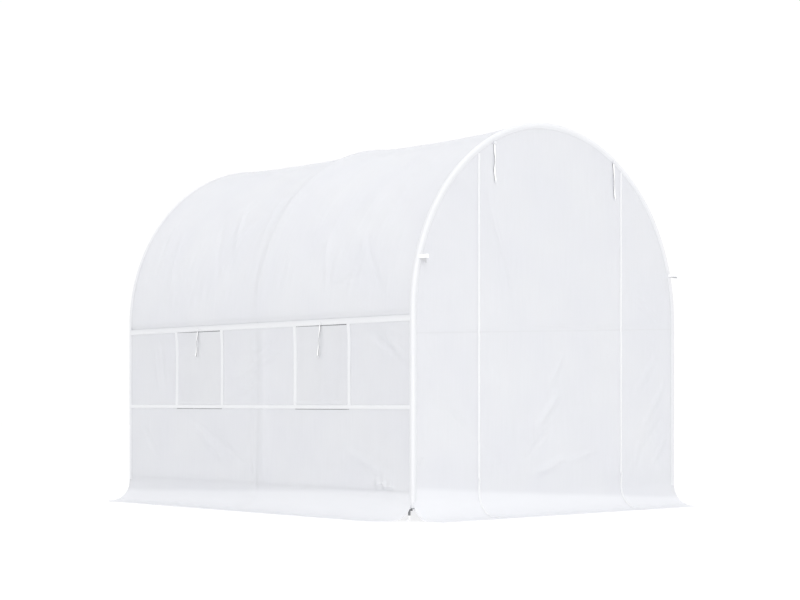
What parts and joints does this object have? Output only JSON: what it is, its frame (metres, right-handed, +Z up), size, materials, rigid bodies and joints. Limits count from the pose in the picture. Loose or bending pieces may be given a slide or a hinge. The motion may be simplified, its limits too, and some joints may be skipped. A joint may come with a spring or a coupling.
{
  "type": "walk-in polytunnel greenhouse",
  "caption": "Walk-in tunnel greenhouse: steel hoops and bars under a white woven cover with a zipped front door, roll-up side windows and ground flaps.",
  "frame": {"origin": "middle of the footprint, on the ground", "axes": "+X to the right seen from the door, +Y along the tunnel from the door to the back, +Z up"},
  "size_m": [2.33, 2.8166, 2.0318],
  "materials": {
    "galvanised_steel": "galvanised, satin",
    "woven_cover": "woven polyethylene, translucent white",
    "window_flap": "woven polyethylene, translucent white",
    "seam_tape": "woven tape, matt white",
    "insect_mesh": "fine knitted mesh, white",
    "zip": "moulded coil zip on woven tape, white",
    "ribbon": "woven ribbon, white",
    "webbing": "woven webbing, white"
  },
  "bodies": {
    "root": {"front_arch": "galvanised_steel", "middle_arch": "galvanised_steel", "rear_arch": "galvanised_steel", "front_left_leg": "galvanised_steel", "front_right_leg": "galvanised_steel", "middle_left_leg": "galvanised_steel", "middle_right_leg": "galvanised_steel", "rear_left_leg": "galvanised_steel", "rear_right_leg": "galvanised_steel", "ridge_bars": "galvanised_steel", "left_side_bars": "galvanised_steel", "right_side_bars": "galvanised_steel", "left_base_bars": "galvanised_steel", "right_base_bars": "galvanised_steel", "left_brace": "galvanised_steel", "right_brace": "galvanised_steel", "roof_cover": "woven_cover", "left_wall": "woven_cover", "right_wall": "woven_cover", "rear_wall": "woven_cover", "front_left_panel": "woven_cover", "door_sheet": "woven_cover", "front_right_panel": "woven_cover", "left_ground_flap": "woven_cover", "right_ground_flap": "woven_cover", "rear_ground_flap": "woven_cover", "front_binding": "seam_tape", "rear_binding": "seam_tape", "left_wall_tapes": "seam_tape", "right_wall_tapes": "seam_tape", "left_zip": "zip", "right_zip": "zip", "left_front_window_mesh": "insect_mesh", "left_rear_window_mesh": "insect_mesh", "right_front_window_mesh": "insect_mesh", "right_rear_window_mesh": "insect_mesh", "left_front_window_flap": "window_flap", "left_rear_window_flap": "window_flap", "right_front_window_flap": "window_flap", "right_rear_window_flap": "window_flap", "left_front_window_tie": "ribbon", "left_rear_window_tie": "ribbon", "right_front_window_tie": "ribbon", "right_rear_window_tie": "ribbon", "left_door_tie": "ribbon", "right_door_tie": "ribbon", "left_guy_loop": "webbing", "right_guy_loop": "webbing"}
  },
  "joints": []
}
